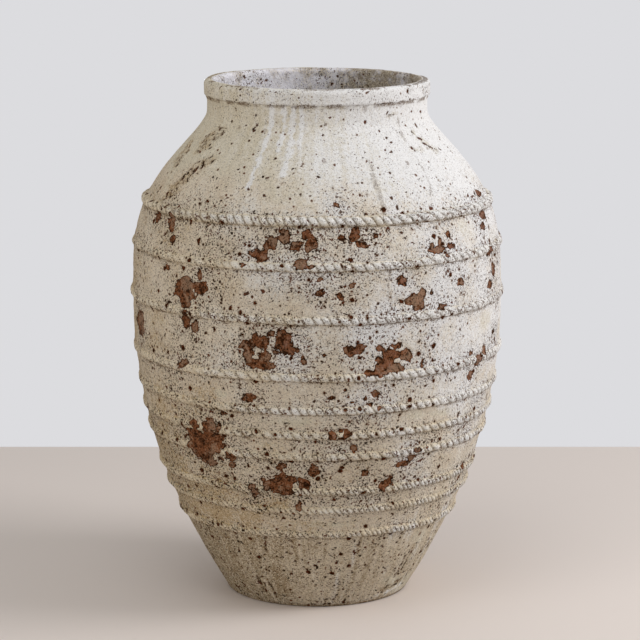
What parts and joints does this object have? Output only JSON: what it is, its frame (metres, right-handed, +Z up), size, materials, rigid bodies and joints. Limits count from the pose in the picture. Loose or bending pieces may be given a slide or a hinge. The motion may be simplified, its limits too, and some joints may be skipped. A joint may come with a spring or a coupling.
{
  "type": "floor vase",
  "caption": "Large round-bellied terracotta floor vase with a narrow foot, short neck, thick rolled rim and twisted rope bands pressed around the body, open at the mouth and hollow inside.",
  "frame": {"origin": "centre of the foot's underside, on the floor that the vase stands on", "axes": "+Z up along the vase axis; -Y points to the side shown in the picture"},
  "size_m": [0.6528, 0.6528, 0.9],
  "materials": {
    "foot_limewash": "worn limewash over fired clay, matt, chipped at the floor",
    "wall_limewash": "worn limewash over fired clay, matt, pitted, with bare clay patches",
    "rim_limewash": "limewash over fired clay, matt, rubbed on the top edge",
    "rope_limewash": "limewash over fired clay, matt, with grime in the twist marks"
  },
  "bodies": {
    "root": {"base_slab": "foot_limewash", "foot_wall": "foot_limewash", "lower_belly_wall": "wall_limewash", "middle_belly_wall": "wall_limewash", "upper_belly_wall": "wall_limewash", "shoulder_wall": "wall_limewash", "neck_wall": "wall_limewash", "rim_ring": "rim_limewash", "rope_band_01": "rope_limewash", "rope_band_02": "rope_limewash", "rope_band_03": "rope_limewash", "rope_band_04": "rope_limewash", "rope_band_05": "rope_limewash", "rope_band_06": "rope_limewash", "rope_band_07": "rope_limewash", "rope_band_08": "rope_limewash", "rope_band_09": "rope_limewash", "rope_band_10": "rope_limewash"}
  },
  "joints": []
}
